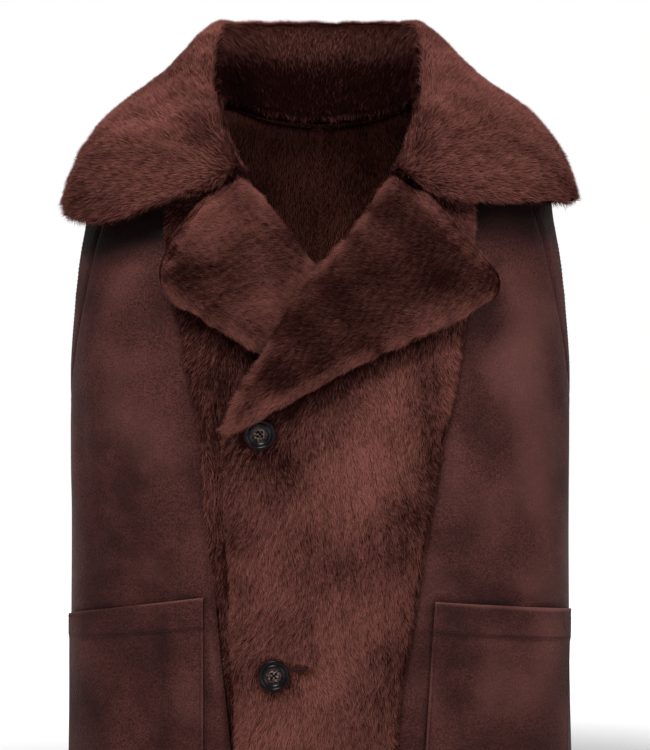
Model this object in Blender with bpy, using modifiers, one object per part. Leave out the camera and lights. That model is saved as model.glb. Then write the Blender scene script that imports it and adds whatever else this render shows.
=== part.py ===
"""Faux shearling vest: suede-look sides and back, fur fronts, wide fur collar and lapels.

The vest keeps the hollow form that it has when it is worn, with neck, front V, armholes and
hem open.  +Z is up, the front faces -Y, and the wearer's left is +X.  The origin is between
the shoulders, level with the bottom of the collar.  Every cloth piece is a grid of points on
one torso surface, or on the collar's or a lapel's own folded surface, with a wall grown along
the surface's own normals, so that neighbours meet with an even seam gap.
"""

from math import asin, pi, radians, sin, tan

import bmesh
import bpy
from mathutils import Vector

MM = 0.001

# ---------------------------------------------------------------- driving dimensions (mm)
HEM_Z = -730.0  # hem below the origin
YOKE_Z = -170.0  # above this height the body rounds over towards the shoulders
NECK_X = 97.0  # half width of the neck at the shoulder
NECK_Z = 12.0  # top of the shoulder seam
SHOULDER_SLOPE = tan(radians(25.0))
ROUND = 2.4  # power of the body's rounded cross-section
ROUND_FRONT = 2.2  # power of the fall-off over the front of the shoulders
ROUND_BACK = 2.9  # and over their back
BACK_NECK_Y = 75.0  # how far behind the shoulder seam the back neck lies
SEAM = 0.35  # gap left at each seam

SUEDE_WALL = 8.0  # suede-look cloth with its pile lining
COLLAR_WALL = 14.0
LAPEL_WALL = 13.0
POCKET_WALL = 2.4
BAND_WIDTH = 26.0
BUTTON_RADIUS = 15.0

# Body sections from the top down
BODY = [  # z, half_width, front_depth, back_depth
    (40, 231, 124, 116),
    (-60, 234, 126, 122),
    (-170, 248, 134, 128),
    (-280, 250, 139, 127),
    (-400, 249, 137, 120),
    (-520, 250, 137, 119),
    (-630, 252, 140, 124),
    (-740, 256, 144, 128),
]

# Soft folds of the suede-look sides: a ridge (+) or a trough (-) from one end to the other
FOLDS = [  # x0, z0, x1, z1, half_width, height
    (185, -190, 150, -330, 20, 2.5),
    (214, -250, 205, -420, 14, -3.0),
    (232, -300, 226, -560, 12, 2.5),
    (170, -380, 190, -560, 18, -2.0),
    (130, -430, 112, -720, 16, 2.0),
    (196, -560, 188, -725, 14, 2.5),
    (-180, -200, -160, -350, 18, 2.5),
    (-205, -260, -200, -440, 14, -3.0),
    (-232, -300, -228, -600, 12, 2.0),
    (-150, -360, -176, -540, 18, -2.0),
    (-150, -480, -142, -725, 16, 3.0),
    (-200, -560, -204, -725, 14, 2.5),
]
BACK_FOLDS = [  # x0, z0, x1, z1, half_width, height
    (195, -140, 110, -300, 22, -4.5),
    (-190, -140, -120, -310, 22, -4.5),
    (150, -400, 172, -728, 24, 6.0),
    (62, -430, 52, -728, 22, -4.5),
    (-58, -470, -72, -728, 20, 5.0),
    (-165, -400, -150, -728, 24, -5.0),
    (222, -330, 216, -640, 18, 4.0),
    (-222, -330, -214, -640, 18, 4.0),
]

# Lines seen from the front: x at each height
FUR_EDGE_LEFT = [  # z, x   (seam between the wearer's left fur front and suede side)
    (40, 150), (-105, 149), (-139, 148), (-217, 139), (-244, 136), (-269, 131), (-294, 126),
    (-318, 120), (-358, 114), (-405, 105), (-448, 98), (-488, 91), (-535, 84), (-582, 76),
    (-622, 73), (-740, 66),
]
FUR_EDGE_RIGHT = [
    (40, -151), (-105, -151), (-146, -149), (-201, -139), (-228, -134), (-260, -129),
    (-290, -122), (-313, -116), (-358, -113), (-394, -111), (-437, -107), (-475, -101),
    (-508, -98), (-548, -94), (-588, -89), (-622, -85.5), (-740, -80),
]
INNER_EDGE_LEFT = [  # the neck, just inside the lapel's roll line, and the lapped front edge
    (40, 103), (12, 103), (0, 103), (-25, 99), (-55, 90), (-71, 82), (-95, 64), (-123, 43),
    (-142, 26), (-159, 12), (-192, -9), (-228, -32), (-258, -54), (-280, -70), (-301, -86),
    (-318, -97), (-366, -94), (-432, -91), (-499, -88.5), (-565, -85.5), (-622, -82.5), (-740, -77),
]
INNER_EDGE_RIGHT = [  # the neck and roll line, then the edge that lies under the other front
    (40, -107), (12, -107), (0, -107), (-25, -104), (-55, -96), (-71, -87), (-100, -56),
    (-119, -36), (-138, -20), (-152, -9), (-175, 0), (-220, 0), (-400, -5), (-740, -5),
]

# Armhole seam seen from the side
ARMHOLE = [  # z, y_front, y_back
    (-47, 0, 0),
    (-51, -22, 22),
    (-62, -42, 43),
    (-84, -60, 62),
    (-110, -68, 74),
    (-150, -69, 80),
    (-190, -62, 80),
    (-225, -51, 73),
    (-255, -38, 59),
    (-278, -24, 40),
    (-290, -10, 19),
    (-294, 0, 0),
]

# Collar sections from the centre back round to the notch: its seam at the neck, the top of the
# roll, three places down the fall and the fall's edge, each in the middle of the wall.  The
# last two columns change the wearer's right half: its roll lies further out, its edge lower.
COLLAR = [  # neck, roll, middle, outer, edge, right_roll_out, right_edge_down
    ((0, 71, -3), (0, 96, 96.5), (0, 124, 42), (0, 132, -2), (0, 134, -44), 0, 0),
    ((38, 67, 0), (42, 91, 96.5), (56, 121, 41), (64, 129, -5), (68, 132, -49), 1, 0),
    ((68, 54, 5), (78, 72, 94.5), (104, 104, 36), (120, 119, -13), (130, 125, -60), 2, 0),
    ((86, 29, 10), (93, 41, 91.5), (140, 70, 33), (174, 88, -17), (196, 105, -75), 3, 3),
    ((94, 3, 12), (99, 8, 82), (149, 12, 37), (222, 11, -17), (255, 9, -84), 4, 3),
    ((96, -24, 10), (101, -24, 59), (150, -32, 20), (217, -44, -36), (252, -54, -99), 5, 12),
    ((94, -50, 2), (101, -62, 18), (142, -74, -15), (192, -88, -60), (223, -94, -101), 5, 21),
    ((89, -83, -25), (92, -106, -21), (124, -110, -43), (161, -117, -74), (184, -120, -102), 5, 14),
    ((81, -103, -53), (83, -124, -50), (104, -128, -65), (132, -131, -85), (151, -131, -102), 6, 1),
    ((71, -113, -75), (73, -132, -70), (88, -135, -82), (106, -135, -93), (120, -134, -101), 6, -9),
]
ROLL_RADIUS = 11.0  # of the middle of the collar's wall where it turns over

# Lapels seen from the front: the roll line and the outer edge, from the bottom up
LAPEL_LEFT = [  # along, roll_x, roll_z, edge_x, edge_z, lift
    (0.00, -97, -319, -86, -323, 24),
    (0.08, -88, -301, -45, -302, 28.5),
    (0.20, -68, -264, 2, -277, 26),
    (0.32, -45, -228, 38, -258, 24),
    (0.44, -23, -192, 72, -245, 23),
    (0.55, -4, -165, 106, -228, 23),
    (0.65, 9, -150, 140, -213, 24),
    (0.74, 22, -137, 168, -198, 25),
    (0.80, 31, -127, 179, -183, 26),
    (0.86, 40, -114, 170, -164, 25),
    (0.92, 51, -98, 146, -138, 23),
    (0.97, 62, -82, 119, -108, 21),
    (1.00, 68, -75.6, 104, -95.6, 20),
]
LAPEL_RIGHT = [
    (0.00, 2, -166, -50, -250, 3),
    (0.14, -5, -158, -64, -244, 9),
    (0.28, -12, -149, -88, -231, 15),
    (0.44, -21, -137, -116, -216, 18),
    (0.58, -31, -124, -138, -203, 20),
    (0.70, -40, -112, -151, -190, 23),
    (0.80, -49, -101, -160, -168, 23),
    (0.90, -60, -89, -147, -137, 22),
    (0.96, -69, -81, -127, -110, 20),
    (1.00, -75.5, -77.2, -107, -96.8, 19),
]

POCKETS = [  # node side, inner_x_top, inner_x_bottom, top_z_inner, top_z_outer, bottom_z, width
    ("pocket_left", 1, 109.5, 97.5, -483, -497, -668, 172),
    ("pocket_right", -1, 111.5, 111.0, -479, -502, -668, 172),
]
BUTTONS = [  # node, x, z
    ("button_upper", -56.0, -322.0),
    ("button_lower", -43.0, -552.0),
]
BUTTON_PROFILE = [  # radius, height
    (0.0, 0.0), (13.2, 0.0), (14.6, 0.9), (15.0, 2.0), (14.6, 3.4), (13.4, 4.2), (11.9, 4.2),
    (10.6, 3.3), (9.6, 2.7), (0.0, 2.5),
]

COLOURS = {  # material: base colour, roughness
    "suede": ((0.070, 0.028, 0.024), 0.62),
    "fur": ((0.105, 0.034, 0.026), 0.95),
    "horn": ((0.012, 0.012, 0.016), 0.28),
}


# How many rows of faces the panels have below the armhole, beside it and over the shoulder
ROWS_BODY, ROWS_ARM, ROWS_YOKE = 17, 6, 8
ROWS = ROWS_BODY + ROWS_ARM + ROWS_YOKE


# ---------------------------------------------------------------- small helpers
def smooth(table, at, column=1):
    """Read a table with a curve that passes through its rows without overshoot."""
    rows = table if table[0][0] < table[-1][0] else table[::-1]
    if at <= rows[0][0]:
        return rows[0][column]
    if at >= rows[-1][0]:
        return rows[-1][column]
    i = max(k for k in range(len(rows) - 1) if rows[k][0] <= at)

    def slope(k):
        if k == 0 or k == len(rows) - 1:
            a, b = (0, 1) if k == 0 else (k - 1, k)
            return (rows[b][column] - rows[a][column]) / (rows[b][0] - rows[a][0])
        left = (rows[k][column] - rows[k - 1][column]) / (rows[k][0] - rows[k - 1][0])
        right = (rows[k + 1][column] - rows[k][column]) / (rows[k + 1][0] - rows[k][0])
        return 0.0 if left * right <= 0 else 2 * left * right / (left + right)

    h = rows[i + 1][0] - rows[i][0]
    t = (at - rows[i][0]) / h
    return (
        (2 * t**3 - 3 * t**2 + 1) * rows[i][column]
        + (t**3 - 2 * t**2 + t) * h * slope(i)
        + (-2 * t**3 + 3 * t**2) * rows[i + 1][column]
        + (t**3 - t**2) * h * slope(i + 1)
    )


def ease(a, b, x):
    t = min(1.0, max(0.0, (x - a) / (b - a)))
    return t * t * (3 - 2 * t)


def spline(points, t):
    """A centripetal curve through the points, t from 0 to 1."""
    knots = [0.0]
    for a, b in zip(points, points[1:]):
        knots.append(knots[-1] + max((b - a).length, 1e-6) ** 0.5)
    at = t * knots[-1]
    i = max(k for k in range(len(points) - 1) if knots[k] <= at + 1e-12)
    p1, p2 = points[i], points[i + 1]
    p0 = points[i - 1] if i else p1 * 2 - p2
    p3 = points[i + 2] if i + 2 < len(points) else p2 * 2 - p1
    t1, t2 = knots[i], knots[i + 1]
    t0 = knots[i - 1] if i else 2 * t1 - t2
    t3 = knots[i + 2] if i + 2 < len(points) else 2 * t2 - t1
    a1 = p0 * ((t1 - at) / (t1 - t0)) + p1 * ((at - t0) / (t1 - t0))
    a2 = p1 * ((t2 - at) / (t2 - t1)) + p2 * ((at - t1) / (t2 - t1))
    a3 = p2 * ((t3 - at) / (t3 - t2)) + p3 * ((at - t2) / (t3 - t2))
    b1 = a1 * ((t2 - at) / (t2 - t0)) + a2 * ((at - t0) / (t2 - t0))
    b2 = a2 * ((t3 - at) / (t3 - t1)) + a3 * ((at - t1) / (t3 - t1))
    return b1 * ((t2 - at) / (t2 - t1)) + b2 * ((at - t1) / (t2 - t1))


# ---------------------------------------------------------------- the torso surface
def shoulder_z(x):
    """Height of the shoulder seam at a distance from the centre."""
    over = abs(x) - NECK_X
    return NECK_Z - SHOULDER_SLOPE * 0.5 * (over + (over * over + 36.0) ** 0.5)


def fall_off(x, z, front):
    """What share of its full depth the body keeps at a height above the yoke."""
    if z <= YOKE_Z:
        return 1.0
    power = ROUND_FRONT if front else ROUND_BACK
    rise = min(0.99999, (z - YOKE_Z) / (shoulder_z(x) - YOKE_Z))
    return (1 - rise**power) ** (1 / power)


def depth(x, z, front):
    """How far in front of (or behind) the shoulder seam the cloth's outer face is."""
    full = smooth(BODY, z, 2 if front else 3) * fall_off(x, z, front)
    across = min(1.0, abs(x) / smooth(BODY, z, 1))
    return full * (1 - across**ROUND) ** (1 / ROUND)


def normal_at(x, y, z, front):
    """The direction straight out of the torso, from the slope of its implicit equation."""
    z = min(z, shoulder_z(x) - 1.0)

    def level(px, py, pz):
        full = smooth(BODY, pz, 2 if front else 3) * fall_off(px, pz, front)
        return (abs(px) / smooth(BODY, pz, 1)) ** ROUND + (abs(py) / full) ** ROUND

    step = 0.25
    slope = Vector((
        level(x + step, y, z) - level(x - step, y, z),
        level(x, y + step, z) - level(x, y - step, z) if abs(y) > step else 0.0,
        level(x, y, z + step) - level(x, y, z - step),
    ))
    return slope.normalized() if slope.length > 1e-12 else Vector((0, -1 if front else 1, 0))


def fold(x, z, front):
    """Height of the soft folds at a point."""
    total = 0.0
    for x0, z0, x1, z1, half, height in FOLDS if front else BACK_FOLDS:
        dx, dz = x1 - x0, z1 - z0
        long2 = dx * dx + dz * dz
        t = ((x - x0) * dx + (z - z0) * dz) / long2
        off = abs((x - x0) * dz - (z - z0) * dx) / long2**0.5
        end = ease(-0.12, 0.25, t) * (1 - ease(0.75, 1.12, t))
        total += height * end * max(0.0, 1 - (off / (2.2 * half)) ** 2) ** 2
    return total


def torso(x, z, front, lift=0.0):
    """A point on the torso's outer face or lifted off it, and the direction out of it there."""
    y = depth(x, z, front) * (-1 if front else 1)
    normal = normal_at(x, y, z, front)
    return Vector((x, y, z)) + normal * (fold(x, z, front) + lift), normal


def over_front(x, z, lift):
    """A point that is seen at x and z from the front, lifted clear of the torso."""
    y = -depth(x, z, True)
    normal = normal_at(x, y, z, True)
    reach = (fold(x, z, True) + lift) / max(0.5, -normal.y)
    return Vector((x, y - reach, z)), normal


def side_x(y, z):
    """Half width of the outer face at a depth and height, found by halving."""
    front, low, high = y < 0, 0.0, smooth(BODY, z, 1)
    for _ in range(40):
        middle = (low + high) / 2
        if depth(middle, z, front) > abs(y):
            low = middle
        else:
            high = middle
    return low


def angle_of(x, z):
    """The cross-section's own angle, 0 at the centre and 1 (or -1) at the side."""
    share = min(1.0, abs(x) / smooth(BODY, z, 1))
    return (1 if x >= 0 else -1) * 2 / pi * asin(share ** (ROUND / 2))


def x_at(angle, z):
    share = abs(sin(angle * pi / 2)) ** (2 / ROUND)
    return (1 if angle >= 0 else -1) * smooth(BODY, z, 1) * share


def height_at(row, x, top=1.0):
    """Height of a row of points: level up to the yoke, closing on the shoulder above it.

    row runs from 0 at the hem to 1 at the shoulder seam; top below 1 stops short of the seam.
    """
    at = row * ROWS
    under_arm = ARMHOLE[-1][0]
    if at <= ROWS_BODY:
        return HEM_Z + (under_arm - HEM_Z) * at / ROWS_BODY
    if at <= ROWS_BODY + ROWS_ARM:
        return under_arm + (YOKE_Z - under_arm) * ((at - ROWS_BODY) / ROWS_ARM) ** 1.8
    turn = (at - ROWS_BODY - ROWS_ARM) / ROWS_YOKE * top
    return YOKE_Z + (shoulder_z(x) - YOKE_Z) * sin(turn * pi / 2)


def neck_turn(x):
    """How far up the back a column of points ends, so that they stop at the neckline."""
    if abs(x) >= NECK_X:
        return 1.0
    target = BACK_NECK_Y * (1 - (abs(x) / NECK_X) ** 2.6) ** (1 / 2.6)
    low, high = 0.0, 1.0
    for _ in range(30):
        middle = (low + high) / 2
        if depth(x, height_at(1.0, x, middle), False) > target:
            low = middle
        else:
            high = middle
    return low


def armhole_point(row, front):
    """Where a row of points meets the armhole seam, seen from the side: half width, depth, height."""
    low, high = ARMHOLE[-1][0], ARMHOLE[0][0]
    for _ in range(40):
        middle = (low + high) / 2
        y = smooth(ARMHOLE, middle, 1 if front else 2)
        if height_at(row, side_x(y if y else -0.001, middle)) > middle:
            low = middle
        else:
            high = middle
    y = smooth(ARMHOLE, low, 1 if front else 2)
    return side_x(y if y else -0.001, low), y, low


def seam_normal(x, y, z):
    """The direction out of the cloth along the armhole seam, turning over at the shoulder."""
    over = Vector((0.6, 0, 0.8))
    share = max(ease(0, 34, abs(y)), 1 - ease(-140, -90, z))
    return over.lerp(normal_at(x, y, z, y < 0), share).normalized()


# ---------------------------------------------------------------- building the cloth
def clear_scene():
    for item in list(bpy.data.objects):
        bpy.data.objects.remove(item, do_unlink=True)


def material(name):
    made = bpy.data.materials.get(name) or bpy.data.materials.new(name)
    made.use_nodes = True
    shader = made.node_tree.nodes["Principled BSDF"]
    colour, rough = COLOURS[name]
    shader.inputs["Base Color"].default_value = (*colour, 1.0)
    shader.inputs["Roughness"].default_value = rough
    shader.inputs["Metallic"].default_value = 0.0
    made.diffuse_color = (*colour, 1.0)
    return made


def cloth(name, columns, rows, place, wall, look, collection):
    """A grid of points placed in space, with a wall grown to both sides of it.

    place(u, v) gives a point and the outward normal there, and wall(u, v) gives how far the
    cloth reaches outward and inward of that point, all in millimetres.
    """
    bm = bmesh.new()
    bmesh.ops.create_grid(bm, x_segments=columns, y_segments=rows, size=0.5)
    inner = {vert: (vert.co.x + 0.5, vert.co.y + 0.5) for vert in bm.verts}
    grown = bmesh.ops.extrude_face_region(bm, geom=bm.faces[:], use_keep_orig=True)
    outer = {
        item: (item.co.x + 0.5, item.co.y + 0.5)
        for item in grown["geom"]
        if isinstance(item, bmesh.types.BMVert)
    }
    placed = {}
    for group, is_outer in ((inner, False), (outer, True)):
        for vert, (u, v) in group.items():
            key = (round(u * columns), round(v * rows))
            if key not in placed:
                placed[key] = (*place(u, v), *wall(u, v))
            point, normal, out, inward = placed[key]
            vert.co = (point + normal * (out if is_outer else -inward)) * MM
    bmesh.ops.recalc_face_normals(bm, faces=bm.faces)
    if bm.calc_volume(signed=True) < 0:
        bmesh.ops.reverse_faces(bm, faces=bm.faces)
    mesh = bpy.data.meshes.new(name)
    bm.to_mesh(mesh)
    bm.free()
    mesh.shade_smooth()
    mesh.set_sharp_from_angle(angle=radians(50))
    made = bpy.data.objects.new(name, mesh)
    made.data.materials.append(material(look))
    collection.objects.link(made)
    return made


def rim(u, v, columns, rows, free, least=0.45):
    """Thins the wall at its free edges, so that a furry edge is rounded.

    free names the edges that are not sewn to a neighbour: l(eft), r(ight), b(ottom), t(op).
    """
    near = {"l": u * columns, "r": (1 - u) * columns, "b": v * rows, "t": (1 - v) * rows}
    return least if any(near[edge] < 0.5 for edge in free) else 1.0


def settle(row, edge, top=1.0):
    """The x and height where a row of points meets a line that is given as x at each height."""
    z = height_at(row, edge(YOKE_Z), top)
    for _ in range(16):
        z = height_at(row, edge(z), top)
    return edge(z), z


def panel(name, side, front, start, stop, columns, lift, wall, look, collection):
    """A panel of the torso between two lines; side is 1 for the wearer's left, -1 for the right.

    start and stop give x (for the left-hand side) at each height; with no stop, the panel ends
    at the side seam and, above it, at the armhole seam.
    """

    def place(u, v):
        x0, z0 = settle(v, start, neck_turn(start(0)) if not front else 1.0)
        if stop is None and v * ROWS > ROWS_BODY - 0.5:
            x1, y1, z1 = armhole_point(v, front)
        elif stop is None:
            z1 = height_at(v, 250.0)
            x1 = smooth(BODY, z1, 1)
        else:
            x1, z1 = settle(v, stop)
        a, b = angle_of(x0, z0), angle_of(x1, z1)
        angle = a + (b - a) * u
        z = z0 + (z1 - z0) * u
        x = x_at(angle, z)
        for _ in range(8):
            z = height_at(v, x, 1.0 if front else neck_turn(x))
            x = x_at(angle, z)
        x = x if u < 1 else x1
        z = z if u < 1 else z1
        point, normal = torso(side * x, z, front, lift(x, z))
        if stop is None and u > 0.999 and v * ROWS > ROWS_BODY + 0.5:
            normal = seam_normal(x, -y1 if front and y1 > 0 else y1, z)
            normal = Vector((side * normal.x, normal.y, normal.z))
        is_top = v > 0.999 and abs(x) >= NECK_X - 0.01
        is_side = u > 0.999 and stop is None and v * ROWS < ROWS_BODY + 0.5
        if is_top:
            if stop is not None or u < 0.999:
                normal = Vector((side * SHOULDER_SLOPE, 0, 1)).normalized()
            point = Vector((side * x, 0, shoulder_z(x))) + normal * lift(x, z)
        if is_side:
            normal = Vector((side, 0, normal.z)).normalized()
            point = Vector((point.x, 0, point.z))
        if is_top or is_side:
            point.y = SEAM / 2 * (-1 if front else 1)
        return point, normal

    return cloth(name, columns, ROWS, place, wall, look, collection)


clear_scene()
vest = bpy.data.collections.new("faux_fur_vest")
bpy.context.scene.collection.children.link(vest)


# ---------------------------------------------------------------- back and side fronts
def plain_wall(u, v):
    return 0.0, SUEDE_WALL


for side, name in ((1, "back_left"), (-1, "back_right")):
    panel(name, side, False, lambda z: SEAM / 2, None, 11, lambda x, z: 0.0, plain_wall, "suede", vest)

for side, name, table in ((1, "front_left_suede", FUR_EDGE_LEFT), (-1, "front_right_suede", FUR_EDGE_RIGHT)):
    panel(
        name, side, True, lambda z, t=table: abs(smooth(t, z)) + SEAM, None, 8,
        lambda x, z: 0.0, plain_wall, "suede", vest,
    )


# ---------------------------------------------------------------- fur fronts
def proud(z):
    """The pile stands proud of the suede, but lies flat under the collar."""
    return 1.0 + 7.0 * (1 - ease(-110, -60, z))


def lapped(x, z):
    """The wearer's left front is raised along its free edge, where it laps over the right."""
    away = x - smooth(INNER_EDGE_LEFT, z)
    return 6.0 * (1 - ease(85, 130, away)) * (1 - ease(-175, -120, z))


def tucked(x, z):
    """The right front passes under the left one (x is mirrored, as the panel is)."""
    past = -x - smooth(INNER_EDGE_LEFT, z)
    reach = 22 + 30 * ease(-330, -260, z)
    return -10.0 * ease(-reach, -3, past) * (1 - ease(-165, -135, z))


def fur_panel(name, side, start, stop, columns, lift, out):
    def wall(u, v):
        share = rim(u, v, columns, ROWS, "l")
        z = height_at(v, 100.0)
        return out(z) * share, 7.5 * (0.5 + 0.5 * share)

    return panel(name, side, True, start, stop, columns, lift, wall, "fur", vest)


fur_panel(
    "front_left_fur", 1,
    lambda z: smooth(INNER_EDGE_LEFT, z), lambda z: smooth(FUR_EDGE_LEFT, z),
    9, lapped, proud,
)
fur_panel(
    "front_right_fur", -1,
    lambda z: -smooth(INNER_EDGE_RIGHT, z), lambda z: -smooth(FUR_EDGE_RIGHT, z),
    7, tucked, lambda z: proud(z) - 2.0 * (1 - ease(-110, -60, z)),
)


# ---------------------------------------------------------------- lapels
def lapel(name, table, columns, rows):
    def place(u, v):
        roll = (smooth(table, v, 1), smooth(table, v, 2))
        edge = (smooth(table, v, 3), smooth(table, v, 4))
        x = roll[0] + (edge[0] - roll[0]) * u
        z = roll[1] + (edge[1] - roll[1]) * u
        lift = smooth(table, v, 5) - 6.0 * max(0.0, 1 - u * 6) ** 2 - 2.0 * ease(0.85, 1.0, u)
        return over_front(x, z, lift)

    def wall(u, v):
        share = rim(u, v, columns, rows, "lrb")
        return LAPEL_WALL / 2 * share, LAPEL_WALL / 2 * share

    return cloth(name, columns, rows, place, wall, "fur", vest)


lapel("lapel_left", LAPEL_LEFT, 10, 22)
lapel("lapel_right", LAPEL_RIGHT, 9, 16)


# ---------------------------------------------------------------- collar
def collar_sections():
    """All sections from the wearer's right notch round the back to the left notch."""
    left, right = [], []
    for neck, roll, middle, outer, edge, out, down in COLLAR:
        left.append([Vector(p) for p in (neck, roll, middle, outer, edge)])
        right.append([
            Vector((-neck[0], neck[1], neck[2])),
            Vector((-roll[0] - out, roll[1], roll[2])),
            Vector((-middle[0] - out / 2, middle[1], middle[2] - down * 0.1)),
            Vector((-outer[0], outer[1], outer[2] - down * 0.4)),
            Vector((-edge[0], edge[1], edge[2] - down)),
        ])
    return right[:0:-1] + left


SECTIONS = collar_sections()


def collar_point(s, v):
    """s runs from 0 at the right notch to 1 at the left one, v from the neck seam to the edge."""
    at = min(s * (len(SECTIONS) - 1), len(SECTIONS) - 1 - 1e-9)
    i = int(at)
    f = at - i
    five = []
    for k in range(5):
        row = [SECTIONS[min(max(i + d, 0), len(SECTIONS) - 1)][k] for d in (-1, 0, 1, 2)]
        if i == 0:
            row[0] = row[1] * 2 - row[2]
        if i + 2 > len(SECTIONS) - 1:
            row[3] = row[2] * 2 - row[1]
        p0, p1, p2, p3 = row
        five.append(
            0.5 * (2 * p1 + (p2 - p0) * f + (2 * p0 - 5 * p1 + 4 * p2 - p3) * f * f
                   + (3 * p1 - p0 - 3 * p2 + p3) * f**3)
        )
    neck, roll, middle, outer, edge = five
    up = (roll - (neck + middle) / 2).normalized()
    away = middle - neck
    away = (away - up * away.dot(up)).normalized()
    tall = (roll - neck).dot(up)
    radius = min(ROLL_RADIUS, 0.55 * (roll - neck).length)
    inside = roll - up * radius - away * radius
    outside = roll - up * radius * 1.15 + away * radius
    points = [neck]
    if tall > 3.2 * radius:
        points.append(neck.lerp(inside, 0.55) + away * 0.5)
    points += [inside, roll - up * 0.2 * radius - away * 0.35 * radius, roll, outside, middle, outer, edge]
    return spline(points, v)


def collar_place(u, v):
    step = 0.004
    here = collar_point(u, v)
    along = collar_point(min(1, u + step), v) - collar_point(max(0, u - step), v)
    across = collar_point(u, min(1, v + step)) - collar_point(u, max(0, v - step))
    return here, across.cross(along).normalized()


COLLAR_COLUMNS, COLLAR_ROWS = 46, 16


def collar_wall(u, v):
    share = rim(u, v, COLLAR_COLUMNS, COLLAR_ROWS, "t", 0.4)
    half = COLLAR_WALL / 2 * (0.8 + 0.2 * ease(0.1, 0.5, v)) * share
    return half, half


cloth("collar", COLLAR_COLUMNS, COLLAR_ROWS, collar_place, collar_wall, "fur", vest)


# ---------------------------------------------------------------- armhole bands
def armhole_band(name, side):
    rows = list(range(ROWS_BODY, ROWS + 1))
    seam = [armhole_point(row / ROWS, True) for row in rows]
    seam += [armhole_point(row / ROWS, False) for row in rows[-2::-1]]
    columns = len(seam) - 1
    middle_z = (ARMHOLE[0][0] + ARMHOLE[-1][0]) / 2
    tall, wide = (ARMHOLE[0][0] - ARMHOLE[-1][0]) / 2, 74.0

    def place(u, v):
        x, y, z = seam[round(u * columns)]
        at_seam = seam_normal(x, y, z)
        inward = SEAM + (BAND_WIDTH - SEAM) * v
        y *= 1 - inward / wide
        z = middle_z + (z - middle_z) * (1 - inward / tall)
        x = side_x(y if abs(y) > 0.01 else -0.01, z)
        normal = normal_at(x, y, z, y < 0)
        if abs(y) < 0.5:
            normal.y = 0
        normal = at_seam.lerp(normal.normalized(), v).normalized()
        if u < 0.001 or u > 0.999:
            y = SEAM / 2 * (-1 if u < 0.5 else 1)
        return Vector((side * x, y, z)), Vector((side * normal.x, normal.y, normal.z))

    def wall(u, v):
        return 0.0, SUEDE_WALL * (0.6 if v > 0.9 else 1.0)

    return cloth(name, columns, 3, place, wall, "suede", vest)


armhole_band("armhole_band_left", 1)
armhole_band("armhole_band_right", -1)


# ---------------------------------------------------------------- pockets
def pocket(name, side, x_top, x_bottom, top_in, top_out, bottom, width):
    columns, rows = 9, 9

    def place(u, v):
        x0 = x_bottom + (x_top - x_bottom) * v
        z = bottom + (top_in + (top_out - top_in) * u - bottom) * v
        around, x = 0.0, x0
        steps = 40
        reach = width * u / steps
        angle = angle_of(x0, z)
        for _ in range(steps):
            a = x_at(angle, z), depth(x_at(angle, z), z, True)
            b = x_at(angle + 0.002, z), depth(x_at(angle + 0.002, z), z, True)
            angle += 0.002 * reach / ((a[0] - b[0]) ** 2 + (a[1] - b[1]) ** 2) ** 0.5
        return torso(side * x_at(angle, z), z, True, 0.9)

    def wall(u, v):
        return POCKET_WALL, 0.0

    return cloth(name, columns, rows, place, wall, "suede", vest)


for row in POCKETS:
    pocket(*row)


# ---------------------------------------------------------------- buttons
def button(name, x, z):
    """A turned disc with a raised ring, sewn flat on the lapped front."""
    mesh = bpy.data.meshes.new(name)
    profile = [(r * MM, 0.0, h * MM) for r, h in BUTTON_PROFILE[::-1]]
    mesh.from_pydata(profile, [(i, i + 1) for i in range(len(profile) - 1)], [])
    made = bpy.data.objects.new(name, mesh)
    made.data.materials.append(material("horn"))
    vest.objects.link(made)
    turn = made.modifiers.new("turned", "SCREW")
    turn.steps = turn.render_steps = 32
    turn.use_merge_vertices = True
    turn.merge_threshold = 0.00005
    turn.use_smooth_shade = True
    foot, normal = torso(x, z, True, lapped(x, z) + proud(z) + 1.6)
    made.location = foot * MM
    made.rotation_euler = normal.to_track_quat("Z", "Y").to_euler()
    return made


for row in BUTTONS:
    button(*row)
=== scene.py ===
# %% [markdown]
# # Dressing a faux shearling vest
# The solid model under this scene has the vest's true size and form: a hollow body with open
# neck, front, armholes and hem, a wide collar and two lapels.  This lesson dresses it.  The
# suede-look cloth, the fur, the seams, the pockets and the buttons are made over the solids,
# each in the place that its solid holds, so the vest looks right from every side.

# %% Load the solid model
from math import cos, pi, radians, sin

import bmesh
import bpy
import numpy as np
from mathutils import Matrix, Vector
from mathutils.bvhtree import BVHTree
from mathutils.kdtree import KDTree


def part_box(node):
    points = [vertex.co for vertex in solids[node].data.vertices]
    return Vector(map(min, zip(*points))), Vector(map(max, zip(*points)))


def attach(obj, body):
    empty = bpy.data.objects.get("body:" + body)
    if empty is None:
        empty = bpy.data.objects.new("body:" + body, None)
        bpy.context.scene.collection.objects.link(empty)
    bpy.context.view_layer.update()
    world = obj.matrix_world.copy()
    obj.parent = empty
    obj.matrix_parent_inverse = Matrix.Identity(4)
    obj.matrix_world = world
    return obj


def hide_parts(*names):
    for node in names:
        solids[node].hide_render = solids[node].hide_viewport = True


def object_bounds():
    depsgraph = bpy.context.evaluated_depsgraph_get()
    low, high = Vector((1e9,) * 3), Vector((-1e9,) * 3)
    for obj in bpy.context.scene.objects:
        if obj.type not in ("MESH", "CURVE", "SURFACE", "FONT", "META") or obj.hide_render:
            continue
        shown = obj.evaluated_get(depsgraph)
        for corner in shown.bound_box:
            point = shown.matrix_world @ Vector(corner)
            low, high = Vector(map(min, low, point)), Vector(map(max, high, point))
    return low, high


MM = 0.001

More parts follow.
